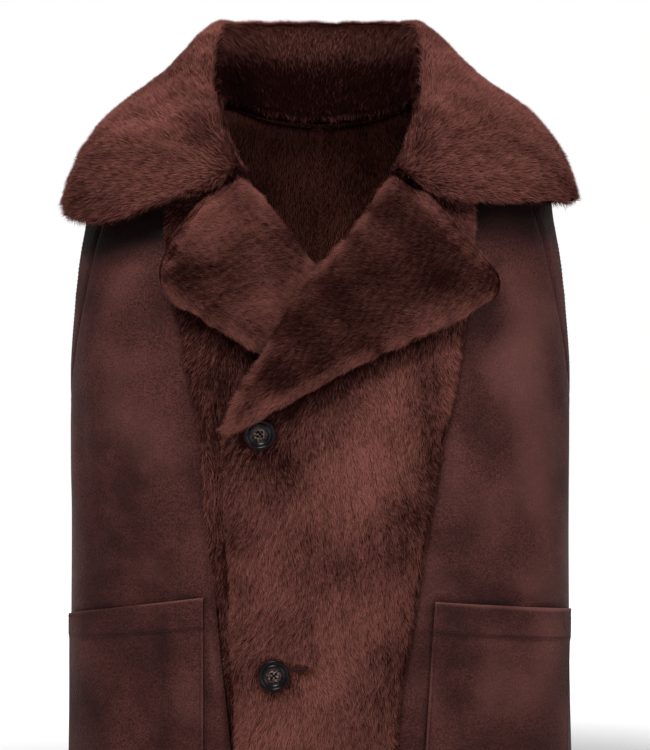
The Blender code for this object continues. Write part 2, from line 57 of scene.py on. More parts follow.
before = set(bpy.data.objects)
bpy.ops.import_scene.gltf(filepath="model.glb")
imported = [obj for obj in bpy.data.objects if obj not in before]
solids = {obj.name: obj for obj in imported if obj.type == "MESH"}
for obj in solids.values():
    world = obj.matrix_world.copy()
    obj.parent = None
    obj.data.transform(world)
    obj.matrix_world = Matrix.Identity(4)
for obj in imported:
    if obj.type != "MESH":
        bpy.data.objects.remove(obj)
cad_low, cad_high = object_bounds()
print("the solid vest is", [round((b - a) * 1000) for a, b in zip(cad_low, cad_high)], "mm")

# %% From bmesh into the scene
def placed(name, bm, finish=None):
    """Puts a form that was built with bmesh into the scene, smooth, and uses it up."""
    made = bpy.data.objects.new(name, bpy.data.meshes.new(name))
    bm.to_mesh(made.data)
    bm.free()
    made.data.shade_smooth()
    if finish:
        made.data.materials.append(finish.material)
    bpy.context.scene.collection.objects.link(made)
    return made


# %% [markdown]
# ## Camera
# The vest is seen straight from the front, from chest height, with a long lens.  One pixel of
# a picture 650 wide and 750 high is 0.95 mm at the front of the vest, so a place that is read
# off a front view in pixels can be turned into millimetres.

# %% Camera
PIXEL = 0.95 * MM  # of the picture, at the front of the vest
SHARP_AT = 2.6  # metres from the lens to the front of the vest
FRONT = -0.15  # where the front of the vest lies along Y
SEEN_WIDTH = 650 * PIXEL
lens = bpy.data.cameras.new("front view")
lens.sensor_fit = "HORIZONTAL"
lens.sensor_width = 36.0
lens.lens = 36.0 * SHARP_AT / SEEN_WIDTH
camera = bpy.data.objects.new("front view", lens)
camera.location = (5 * PIXEL, FRONT - SHARP_AT, -280 * PIXEL)
camera.rotation_euler = (radians(90), 0, 0)
bpy.context.scene.collection.objects.link(camera)
bpy.context.scene.camera = camera
print("lens", round(lens.lens, 1), "mm")

# %% [markdown]
# ## Studio
# A white room with large soft lamps gives fur its depth: the tips catch light from everywhere,
# and the roots and the inside of the neck stay dark because little light gets in.  The key
# lamp stands high on the left, a weaker one fills from the right, and two narrow ones behind
# brush the outline of the pile.

# %% Lamps, sky and floor
def lamp(name, place, aim, power, wide, high):
    data = bpy.data.lights.new(name, "AREA")
    data.shape, data.size, data.size_y, data.energy = "RECTANGLE", wide, high, power
    made = bpy.data.objects.new(name, data)
    made.location = place
    made.rotation_euler = (Vector(aim) - Vector(place)).to_track_quat("-Z", "Y").to_euler()
    bpy.context.scene.collection.objects.link(made)


lamp("key", (-0.9, -2.1, 2.1), (0, 0, -0.3), 135, 1.2, 1.2)
lamp("fill", (1.9, -2.2, 0.6), (0, 0, -0.4), 48, 1.4, 1.8)
lamp("left rim", (-1.6, 1.5, 0.9), (0, 0, -0.2), 10, 0.7, 1.6)
lamp("right rim", (1.6, 1.5, 0.9), (0, 0, -0.2), 10, 0.7, 1.6)

world = bpy.data.worlds.new("white room")
world.use_nodes = True
sky = world.node_tree.nodes["Background"]
sky.inputs["Color"].default_value = (1, 1, 1, 1)
rays = world.node_tree.nodes.new("ShaderNodeLightPath")
level = world.node_tree.nodes.new("ShaderNodeMapRange")  # white to look at, dimmer as a lamp
level.inputs["To Min"].default_value, level.inputs["To Max"].default_value = 0.27, 1.0
world.node_tree.links.new(rays.outputs["Is Camera Ray"], level.inputs["Value"])
world.node_tree.links.new(level.outputs["Result"], sky.inputs["Strength"])
bpy.context.scene.world = world
bpy.context.scene.view_settings.view_transform = "Standard"

bm = bmesh.new()
bmesh.ops.create_grid(bm, x_segments=8, y_segments=8, size=40)
bmesh.ops.translate(bm, verts=bm.verts, vec=(0, 0, cad_low.z - 0.001))
floor = placed("floor", bm)
print("floor at", round(cad_low.z, 3))

# %% [markdown]
# ## Writing materials as sums
# A material is a small sum: a noise times an amount, plus a colour.  The class below wraps the
# output of a shader node, so that such a sum can be written down as it is thought.

# %% A socket that can be added and multiplied
class Flow:
    """The output of a shader node.  Arithmetic on it adds Math nodes."""

    def __init__(self, finish, socket):
        self.finish, self.socket = finish, socket

    def _math(self, operation, *values):
        return self.finish.add("Math", {"operation": operation}, dict(enumerate(values)))

    def __add__(self, other):
        return self._math("ADD", self, other)

    def __mul__(self, other):
        return self._math("MULTIPLY", self, other)

    def above(self, low, high):
        """0 where the value is under low, 1 over high, eased between."""
        return self.finish.add(
            "MapRange", {"interpolation_type": "SMOOTHSTEP"},
            {"Value": self, "From Min": low, "From Max": high},
        )

    __radd__, __rmul__ = __add__, __mul__


# %% A material that is built node by node
class Finish:
    """A material with one Principled shader, built node by node."""

    def __init__(self, name):
        self.material = bpy.data.materials.new(name)
        self.material.use_nodes = True
        self.tree = self.material.node_tree
        self.shader = self.tree.nodes["Principled BSDF"]

    def add(self, kind, settings=None, sockets=None, output=0):
        made = self.tree.nodes.new("ShaderNode" + kind)
        for key, value in (settings or {}).items():
            setattr(made, key, value)
        for key, value in (sockets or {}).items():
            if isinstance(value, Flow):
                self.tree.links.new(value.socket, made.inputs[key])
            else:
                made.inputs[key].default_value = value
        return Flow(self, made.outputs[output])

    def place(self):
        return self.add("TexCoord", output="Object")

    def stored(self, name):
        """A value that a piece holds at its own points."""
        return self.add("Attribute", {"attribute_name": name}, None, "Fac")

    def noise(self, scale, detail=2.0, rough=0.5, twist=0.0):
        return self.add(
            "TexNoise", None,
            {"Vector": self.place(), "Scale": scale, "Detail": detail, "Roughness": rough,
             "Distortion": twist},
        )

    def mix(self, share, a, b):
        """A blend of two colours; a share between 0 and 1 goes to the second."""
        a = a if isinstance(a, Flow) else (*a, 1)
        b = b if isinstance(b, Flow) else (*b, 1)
        return self.add("Mix", {"data_type": "RGBA"}, {0: share, 6: a, 7: b}, 2)

    def bump(self, height, distance):
        return self.add("Bump", None, {"Height": height, "Distance": distance, "Strength": 1.0})

    def set(self, **values):
        for key, value in values.items():
            socket = self.shader.inputs[key.replace("_", " ")]
            if isinstance(value, Flow):
                self.tree.links.new(value.socket, socket)
            elif isinstance(value, tuple):
                socket.default_value = (*value, 1)
            else:
                socket.default_value = value

    def reflect(self, level):
        """How strongly the surface mirrors, from 0 to 1; cloth and fur hardly do."""
        self.shader.inputs["Specular IOR Level"].default_value = level


# %% Colours
def paint(r, g, b):
    """A colour as it is read off a screen, from 0 to 255, made linear."""
    return tuple(
        c / 255 / 12.92 if c < 10 else ((c / 255 + 0.055) / 1.055) ** 2.4 for c in (r, g, b)
    )


print("a mid brown is", [round(c, 3) for c in paint(91, 50, 45)])

# %% Floor finish
pale = Finish("pale floor")
away = pale.add("VectorMath", {"operation": "LENGTH"}, {0: pale.place()}, "Value")
pale.set(
    Base_Color=(0.72, 0.72, 0.72), Roughness=0.9, Emission_Strength=1.0,
    Emission_Color=pale.mix(away.above(0.75, 1.7), (0.0, 0.0, 0.0), (0.8, 0.8, 0.8)),
)
floor.data.materials.append(pale.material)

# %% [markdown]
# ## The suede-look cloth
# The outside of the sides, back and pockets is a waxed faux suede.  It is a dull red brown
# with grey, rubbed clouds a hand wide, darker specks, and a pebble grain about a millimetre
# across.  The clouds change the colour and the gloss; the grain is a bump.  Each panel holds a
# value at its points that paints shade and light into the colour: painted shade where its
# neighbours would shade it and in its folds, and painted light and rubbed wear where it is lighter.

# %% Suede finish
suede = Finish("waxed suede")
clouds = suede.noise(9.0, 4.0, 0.6, twist=0.6).above(0.30, 0.72)
rubbed = suede.noise(31.0, 5.0, 0.62).above(0.40, 0.68)
pebble = suede.add(
    "TexVoronoi", {"feature": "SMOOTH_F1"},
    {"Vector": suede.place(), "Scale": 620.0, "Smoothness": 0.6},
)
fine = suede.noise(900.0, 3.0, 0.6)
wrinkles = suede.noise(150.0, 5.0, 0.65, twist=1.2)
specks = suede.noise(560.0, 4.0, 0.7).above(0.44, 0.66)
base = suede.mix(clouds, paint(67, 35, 32), paint(47, 23, 21))
base = suede.mix(rubbed * 0.5, base, paint(80, 44, 41))
base = suede.mix(specks * 0.7, base, paint(21, 8, 8))
base = suede.mix(pebble.above(0.25, 0.75) * 0.6, base, paint(28, 14, 12))
painted_light_and_wear = suede.stored("painted_light_and_wear")  # how much a place is shaded or rubbed, from -1 to 1
# Painted shade and light: a stored value under 0 darkens the colour towards near black where a
# place would lie in shade; over 0 it lightens it, as a painted highlight and rubbed wear.
base = suede.mix(painted_light_and_wear * -1.0, base, paint(7, 3, 3))
base = suede.mix(painted_light_and_wear * 0.55, base, paint(116, 74, 69))
grain = suede.bump(fine * 0.5 + pebble * -1.0 + wrinkles * 1.5, 0.52 * MM)
suede.set(
    Base_Color=base, Roughness=clouds * 0.12 + 0.52, Normal=grain,
    Sheen_Weight=0.02, Sheen_Roughness=0.4, Sheen_Tint=(0.75, 0.45, 0.4),
)
suede.reflect(0.04)
print("suede nodes:", len(suede.tree.nodes))

# %% [markdown]
# ## The fur
# Faux fur is a knitted backing with a dense pile.  What is seen are the tips, lit and a little
# grey.  The roots are painted nearly black, as painted shade for the tips shading them.  The
# backing gets a dark finish of its own, painted lighter and darker with the same shade and light
# as its strands, and every strand gets a colour that runs from its dark root to its tip.  A
# strand's map holds how far along it a point is, and how light the strand is, so that all
# strands can share one finish and still differ.

# %% Fur finishes
backing = Finish("fur backing")
weave = backing.noise(700.0, 3.0, 0.6)
# The stored light is the piece's tone, with its painted shade and light.
shade = backing.stored("light")
dull = backing.mix(weave.above(0.4, 0.65), paint(6, 2, 2), paint(20, 7, 6))
bright = backing.mix(weave.above(0.4, 0.65), paint(40, 17, 15), paint(80, 41, 36))
backing.set(
    Base_Color=backing.mix(shade, dull, bright), Roughness=0.95,
    Normal=backing.bump(weave, 0.6 * MM),
)
backing.reflect(0.0)


def strand_finish(name, dark_root, dark_tip, pale_root, pale_tip):
    """A strand runs from a dark root, painted as shade, to its tip; how light it is picks between
    two runs.
    """
    made = Finish(name)
    at = made.add("UVMap", {"uv_map": "OFBake"})
    along = made.add("SeparateXYZ", None, {"Vector": at}, "X").above(0.0, 0.9)
    light = made.add("SeparateXYZ", None, {"Vector": at}, "Y")
    dark = made.mix(along, dark_root, dark_tip)
    bright = made.mix(along, pale_root, pale_tip)
    made.set(Base_Color=made.mix(light, dark, bright), Roughness=0.7)
    made.reflect(0.0)
    return made.material


pile = strand_finish(
    "fur pile", paint(5, 1, 1), paint(24, 8, 7), paint(54, 25, 22), paint(142, 88, 79)
)
# The same pile as outside, its light tips painted darker as painted shade for the inside.
lining_pile = strand_finish(
    "lining pile", paint(8, 3, 2), paint(30, 12, 10), paint(52, 24, 20), paint(116, 68, 58)
)
print("fur finishes made")

# %% [markdown]
# ## Cloth from the solids
# Every cloth solid is a wall.  Its outer side, or all of it, is copied, its triangles are
# joined back to the four-sided faces that subdivide well, and the copy is refined.  So each
# piece has its solid's form, only finer, and lies just where the solid does.

# %% Refined copies of the solids
def outward(face):
    """How much a face looks away from the middle of the body, from -1 to 1."""
    here = face.calc_center_median()
    middle = Vector((0, 0, min(here.z, -0.25)))
    return (here - middle).normalized().dot(face.normal)


def applied(made):
    """Turns a piece's modifiers into its mesh."""
    graph = bpy.context.evaluated_depsgraph_get()
    graph.update()
    mesh = bpy.data.meshes.new_from_object(made.evaluated_get(graph))
    made.modifiers.clear()
    old, made.data = made.data, mesh
    bpy.data.meshes.remove(old)
    return made


def refined(name, node, levels, keep=lambda face: True):
    bm = bmesh.new()
    bm.from_mesh(solids[node].data)
    bmesh.ops.remove_doubles(bm, verts=bm.verts, dist=0.01 * MM)
    bmesh.ops.join_triangles(
        bm, faces=bm.faces, angle_face_threshold=radians(180), angle_shape_threshold=radians(180)
    )
    bmesh.ops.delete(bm, geom=[f for f in bm.faces if not keep(f)], context="FACES")
    made = placed(name, bm)
    finer = made.modifiers.new("finer", "SUBSURF")
    finer.levels = finer.render_levels = levels
    finer.boundary_smooth = "PRESERVE_CORNERS"
    return applied(made)


def points_of(made):
    """A piece's points and the directions out of it there, as arrays."""
    count = len(made.data.vertices)
    points, normals = np.empty(count * 3), np.empty(count * 3)
    made.data.vertices.foreach_get("co", points)
    made.data.vertex_normals.foreach_get("vector", normals)
    return points.reshape(-1, 3), normals.reshape(-1, 3)


def move_points(made, points):
    made.data.vertices.foreach_set("co", points.ravel())
    made.data.update()


# %% Edges and walls
def edge_distance(made):
    """How far each point of an open sheet is from its nearest edge."""
    bm = bmesh.new()
    bm.from_mesh(made.data)
    rim = [v.co.copy() for v in bm.verts if v.is_boundary]
    tree = KDTree(len(rim))
    for i, place in enumerate(rim):
        tree.insert(place, i)
    tree.balance()
    far = np.array([tree.find(v.co)[2] for v in bm.verts])
    bm.free()
    return far


def beside_rim(v):
    """The middle of the faces that meet at a point of the rim."""
    return sum((f.calc_center_median() for f in v.link_faces), Vector()) / len(v.link_faces)


def close_seams(made, by):
    """Lets a sheet's edges grow a little outward, so that two panels meet in their seam."""
    bm = bmesh.new()
    bm.from_mesh(made.data)
    moves = []
    for v in bm.verts:
        if v.is_boundary:
            away = v.co - beside_rim(v)
            moves.append((v, (away - v.normal * away.dot(v.normal)).normalized() * by))
    for v, move in moves:
        v.co += move
    bm.to_mesh(made.data)
    bm.free()


def thicken(made, wall, inner=0, rim=0):
    """Gives a sheet a wall, grown inward; inner and rim count on to the new faces' finishes."""
    grow = made.modifiers.new("wall", "SOLIDIFY")
    grow.thickness, grow.offset, grow.use_even_offset = wall, -1, False
    grow.material_offset, grow.material_offset_rim = inner, rim
    return applied(made)


# %% How large a piece is cut
def section(piece, place, normal):
    """How long a thin wall is where a plane cuts it: half of the loop round the wall."""
    bm = bmesh.new()
    bm.from_mesh(piece.data)
    found = bmesh.ops.bisect_plane(
        bm, geom=bm.verts[:] + bm.edges[:] + bm.faces[:], plane_co=place, plane_no=normal
    )["geom_cut"]
    long = sum(e.calc_length() for e in found if isinstance(e, bmesh.types.BMEdge)) / 2
    bm.free()
    return long


def cut_of(piece, strip=None):
    """The flat cut of a closed, thin piece: width, length and area, measured on its wall."""
    area = sum(face.area for face in piece.data.polygons) / 2
    if strip:
        return strip, area / strip, area
    points = points_of(piece)[0]
    low, high = points.min(axis=0), points.max(axis=0)
    shares = np.linspace(0.03, 0.97, 16)
    width = max(section(piece, (0, 0, low[2] + k * (high[2] - low[2])), (0, 0, 1)) for k in shares)
    length = max(section(piece, (low[0] + k * (high[0] - low[0]), 0, 0), (1, 0, 0)) for k in shares)
    return width, length, area


def cut_of_collar(piece):
    """The collar is cut as a curved band; planes through the middle of the neck cross it."""
    area = sum(face.area for face in piece.data.polygons) / 2
    crossings = []
    for angle in range(-60, 61, 15):
        across = (cos(radians(angle)), sin(radians(angle)), 0)
        crossings.append(section(piece, (0, 0.03, 0), across) / 2)
    return area * len(crossings) / sum(crossings), max(crossings), area


def declare(piece, cut, rests_on):
    """Prints how a sheet was cut; rests_on, what lies under it, is not used."""
    width, length, area = cut
    min(area, width * length)
    print(f"{piece.name}: cut {width * 1000:.0f} x {length * 1000:.0f} mm, {area * 1e4:.0f} cm2")


print(len(solids), "solids to dress")

# %% [markdown]
# ## Sewing
# A row of stitches runs just inside an edge.  The edge of a piece's outer side is found on the
# piece itself, moved inward by the same distance everywhere, and cut into equal steps; each
# step gets one short, round thread.  Every thread is a ball of twenty faces, pulled long.

# %% Thread
def yarn(name, dark, pale, level):
    made = Finish(name)
    made.set(Base_Color=made.mix(made.noise(1500.0), dark, pale), Roughness=0.8)
    made.reflect(level)
    return made


thread = yarn("dark thread", paint(26, 11, 10), paint(52, 26, 23), 0.15)

# %% The line just inside an edge
def edge_line(sheet, inset, where):
    """Runs of points just inside the edge of an open sheet, where a rule says so."""
    bm = bmesh.new()
    bm.from_mesh(sheet.data)
    tree = BVHTree.FromBMesh(bm)
    left = {e.index: e for e in bm.edges if e.is_boundary}  # in the order of the mesh
    runs = []
    while left:
        _, edge = left.popitem()
        chain = list(edge.verts)
        for _ in range(2):  # one way, then the other
            while step := next((e for e in chain[-1].link_edges if e.index in left), None):
                del left[step.index]
                chain.append(step.other_vert(chain[-1]))
            chain.reverse()
        run = []
        for v in chain:
            inward = (beside_rim(v) - v.co).normalized()
            place, normal, _, _ = tree.find_nearest(v.co + inward * inset)
            if where(v.co):
                run.append((place, normal))
            elif run:
                runs.append(run)
                run = []
        if run:
            runs.append(run)
    bm.free()
    return [run for run in runs if len(run) > 1]


# %% Stitches
def stitch(name, runs, pitch, long=2.5 * MM, thick=0.55 * MM):
    """One piece with all stitches of some runs, each lying just clear of the cloth."""
    lift = 0.15 * MM
    bm = bmesh.new()
    count = 0
    for run in runs:
        need = pitch / 2
        for (a, na), (b, nb) in zip(run, run[1:]):
            span = (b - a).length
            while need < span:
                place, out = a.lerp(b, need / span), na.lerp(nb, need / span).normalized()
                along = (b - a).normalized()
                side = out.cross(along).normalized()
                turn = Matrix((along, side, out)).transposed().to_4x4()
                shape = Matrix.Translation(place + out * lift) @ turn @ Matrix.Diagonal(
                    (long / 2, thick / 2, thick / 2, 1)
                )
                bmesh.ops.create_icosphere(bm, subdivisions=1, radius=1, matrix=shape)
                need += pitch
                count += 1
            need -= span
    print(name, count, "stitches")
    return placed(name, bm, thread)


# %% [markdown]
# ## Sides and back in suede
# The sides hang in long soft folds, and small creases cross them where an arm has pressed the
# cloth.  No two are alike: each has its own length, depth and bend.  A crease is a soft trough
# beside a soft ridge, laid over the refined cloth.  The edge of every panel rolls down into its
# seam.

# %% Creases
def eased(low, high, value):
    """0 up to low, 1 from high on, and a smooth step between; low may be the larger."""
    t = np.clip((value - low) / (high - low), 0, 1)
    return t * t * (3 - 2 * t)


FRONT_CREASES = [  # x0, z0, x1, z1, half width, height, bend, all in mm; seen from the front
    (168, -205, 205, -330, 11, 1.6, 8), (190, -330, 214, -420, 9, -1.5, -6),
    (150, -260, 172, -400, 13, -1.4, 6), (128, -350, 150, -500, 12, 1.3, -5),
    (205, -430, 188, -540, 10, 1.4, 6), (222, -250, 236, -390, 8, -1.3, 4),
    (120, -600, 112, -715, 9, 1.2, 3), (175, -640, 166, -728, 10, -1.3, 4),
    (-160, -215, -196, -320, 11, 1.5, -8), (-150, -300, -128, -420, 12, -1.4, 7),
    (-190, -350, -214, -470, 9, 1.5, 5), (-172, -430, -160, -560, 12, -1.3, -6),
    (-214, -520, -198, -640, 10, 1.4, 5), (-132, -640, -126, -726, 9, 1.2, -3),
    (-232, -280, -226, -400, 8, -1.2, -4),
]
BACK_CREASES = [
    (180, -120, 90, -250, 13, -1.8, 10), (-170, -110, -96, -262, 12, -1.7, -9),
    (120, -330, 150, -520, 14, 1.6, 8), (-130, -350, -96, -560, 13, 1.7, -8),
    (40, -520, 60, -700, 12, -1.5, 6), (-30, -560, -44, -722, 11, 1.5, -5),
    (205, -330, 180, -480, 10, -1.5, -7), (-206, -360, -190, -500, 10, 1.5, 6),
    (100, -610, 92, -724, 11, 1.4, 4), (-120, -600, -110, -722, 12, -1.4, -4),
    (214, -560, 200, -700, 10, 1.3, 5), (-214, -560, -222, -690, 9, -1.3, 4),
]
print(len(FRONT_CREASES), "creases in front,", len(BACK_CREASES), "behind")

# %% How high the creases stand
def crease_height(points, creases):
    """A trough beside a ridge along each crease, in metres."""
    x, z = points[:, 0] / MM, points[:, 2] / MM
    total = np.zeros(len(points))
    for x0, z0, x1, z1, half, height, bend in creases:
        dx, dz = x1 - x0, z1 - z0
        long = (dx * dx + dz * dz) ** 0.5
        t = ((x - x0) * dx + (z - z0) * dz) / long**2
        off = ((x - x0) * dz - (z - z0) * dx) / long + bend * 4 * t * (1 - t)
        body = eased(-0.1, 0.3, t) * (1 - eased(0.65, 1.1, t))
        total += height * body * np.exp(-((off / half) ** 2))
        total -= 0.45 * height * body * np.exp(-(((off - 1.7 * half) / half) ** 2))
    return total * MM


# %% Painted shade and light in patches and near other parts
SUEDE_PATCHES = [  # x, z, half width, half height in mm, how light
    (-200, -520, 90, 170, -0.16), (214, -300, 40, 200, 0.14), (118, -640, 30, 60, -0.10),
    (-164, -206, 20, 28, -0.42), (-187, -250, 44, 18, 0.26), (-124, -292, 9, 34, -0.34),
    (-187, -311, 26, 20, 0.14), (-183, -387, 42, 28, -0.22), (-200, -428, 34, 22, -0.20),
    (-124, -399, 13, 60, 0.14), (-171, -476, 40, 8, -0.34), (-150, -560, 8, 70, -0.26),
    (-134, -560, 9, 80, 0.16), (-200, -540, 24, 16, 0.12), (-206, -600, 30, 40, -0.20),
    (178, -145, 40, 16, -0.34), (160, -216, 12, 16, -0.30), (202, -240, 30, 42, 0.34),
    (149, -292, 13, 26, -0.34), (171, -335, 14, 30, -0.34), (196, -425, 18, 28, -0.32),
    (133, -330, 9, 24, 0.22), (127, -372, 10, 30, 0.20), (159, -428, 20, 40, 0.24),
    (216, -383, 16, 34, 0.22), (184, -484, 40, 7, -0.26), (184, -522, 40, 14, 0.18),
    (130, -582, 14, 22, -0.26), (170, -600, 14, 20, -0.16), (218, -560, 18, 60, 0.20),
    (160, -560, 12, 30, 0.12),
]


# Painted shade and light in patches: on the suede they paint the shade and light of folds and
# shadows, on the fur partly that and partly the nap's brushing.
def shade_and_nap_patches(table, base=0.0):
    """Lighter and darker patches that are listed, seen from the front."""

    def tone(points, out=None):
        x, z = points[:, 0] / MM, points[:, 2] / MM
        total = np.full(len(points), base)
        for x0, z0, wide, high, amount in table:
            total += amount * np.exp(-(((x - x0) / wide) ** 2) - ((z - z0) / high) ** 2)
        return total

    return tone


def store(made, name, values):
    """Keeps one value a point with the piece, for its finish to read."""
    made.data.attributes.new(name, "FLOAT", "POINT").data.foreach_set("value", values)


def closeness(nodes, near, far):
    """1 close to some other solids, falling to 0 away from them."""
    trees = []
    for node in nodes:
        solid = solids[node].data
        tree = BVHTree.FromPolygons(
            [v.co for v in solid.vertices], [f.vertices[:] for f in solid.polygons]
        )
        trees.append((tree, np.array(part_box(node)[0]) - far, np.array(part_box(node)[1]) + far))

    def value(points):
        away = np.full(len(points), far)
        for tree, low, high in trees:
            for i in np.flatnonzero(((points > low) & (points < high)).all(axis=1)):
                away[i] = min(away[i], tree.find_nearest(Vector(points[i]), far)[3] or far)
        return 1 - eased(near, far, away)

    return value


print(len(SUEDE_PATCHES), "shaded and rubbed places")

# %% Smooth chance
def slow_noise(points, size, seed):
    """A smooth random height from -1 to 1 that changes over about the given size."""
    dice = np.random.default_rng(seed)
    total = np.zeros(len(points))
    for _ in range(9):
        wave = dice.normal(size=3)
        wave *= dice.uniform(0.6, 1.5) * 2 / size / np.linalg.norm(wave)
        total += np.sin(points @ wave + dice.uniform(0, 2 * pi))
    return np.clip(total / 4.0, -1, 1)


def unit(vectors):
    """The same directions, each one long."""
    return vectors / np.maximum(np.linalg.norm(vectors, axis=1, keepdims=True), 1e-9)


# %% Suede panels
WALL = 2.4 * MM  # the cloth and its backing
HEM = 26 * MM  # from the bottom edge up to its stitches
suede_panels = {}
for node, creases in (
    ("front_left_suede", FRONT_CREASES), ("front_right_suede", FRONT_CREASES),
    ("back_left", BACK_CREASES), ("back_right", BACK_CREASES),
    ("armhole_band_left", []), ("armhole_band_right", []),
):
    panel = refined(node + "_cloth", node, 2, lambda face: outward(face) > 0.5)
    points, normals = points_of(panel)
    far = edge_distance(panel)
    rolled = -1.3 * MM * (1 - eased(0, 5 * MM, far))
    creased = 1.6 * crease_height(points, creases) * eased(0, 25 * MM, far)
    points += normals * (rolled + creased)[:, None]
    move_points(panel, points)
    close_seams(panel, 0.4 * MM)

    # Painted shade: the cloth is darker under the collar's fall, under the lapels and in a line
    # round the pockets.  The patches paint the shade and light of folds and shadows, and a slow
    # noise varies the tone at random.
    by_collar = closeness(["collar"], 20 * MM, 46 * MM)(points) * (points[:, 1] < 0.02)
    by_lapel = closeness(["lapel_left", "lapel_right"], 4 * MM, 24 * MM)(points)
    by_pocket = closeness(["pocket_left", "pocket_right"], 0.6 * MM, 6 * MM)(points)
    shaded = np.maximum(np.maximum(by_collar, 0.7 * by_lapel), 0.5 * by_pocket)
    patches = 0.75 * shade_and_nap_patches(SUEDE_PATCHES)(points) * (points[:, 1] < 0)
    patches += 0.2 * slow_noise(points, 0.03, 5)
    store(panel, "painted_light_and_wear", np.clip(patches - 1.1 * shaded, -0.94, 0.6))
    panel.data.materials.append(suede.material)
    panel.data.materials.append(backing.material)
    if "band" in node:
        line = edge_line(panel, 3 * MM, lambda p: True)
    else:
        line = edge_line(panel, HEM, lambda p: p.z < cad_low.z + 0.004)
    sewn = stitch(node + "_sewing", line, pitch=4.2 * MM)
    thicken(panel, WALL, inner=1, rim=0 if "band" in node else 1)
    suede_panels[node] = (panel, sewn)
    print(panel.name, len(panel.data.polygons), "faces")

# %% [markdown]
# ## How a strand is laid
# A strand leans out of the backing into the nap, the way the pile is brushed.  Here it is one
# slender triangle.  The roots are spread evenly over the backing, close where the pile is seen
# and sparse where another layer covers it, which a short ray straight out of each face finds.
# Even steps leave no bare spots, which dice would.  Where the nap runs is a rule for each
# piece.  A slow noise turns the nap and lays it flatter in patches, as a hand does.  The
# strands are lit as the bed under them is, so that the pile shades as one soft body.

# %% What lies over the pile
start = 0
corners, triangles = [], []
for solid in solids.values():
    corners += [v.co.copy() for v in solid.data.vertices]
    triangles += [[start + i for i in face.vertices] for face in solid.data.polygons]
    start += len(solid.data.vertices)
covering = BVHTree.FromPolygons(corners, triangles)


def openness(place, normal, clear=5.5 * MM, far=20 * MM):
    """1 where nothing lies over the pile, close to 0 where another layer does."""
    hit = covering.ray_cast(Vector(place + normal * clear), Vector(normal), far)
    return 1.0 if hit[3] is None else 0.06 + 0.9 * (hit[3] / far) ** 2


print(len(triangles), "triangles of the solids can cover the pile")

# %% Laying the pile
BLADE = 0.6 * MM  # how wide a strand is at its root
EVEN_STEPS = 0.7548776662, 0.5698402910  # steps that fill a square evenly


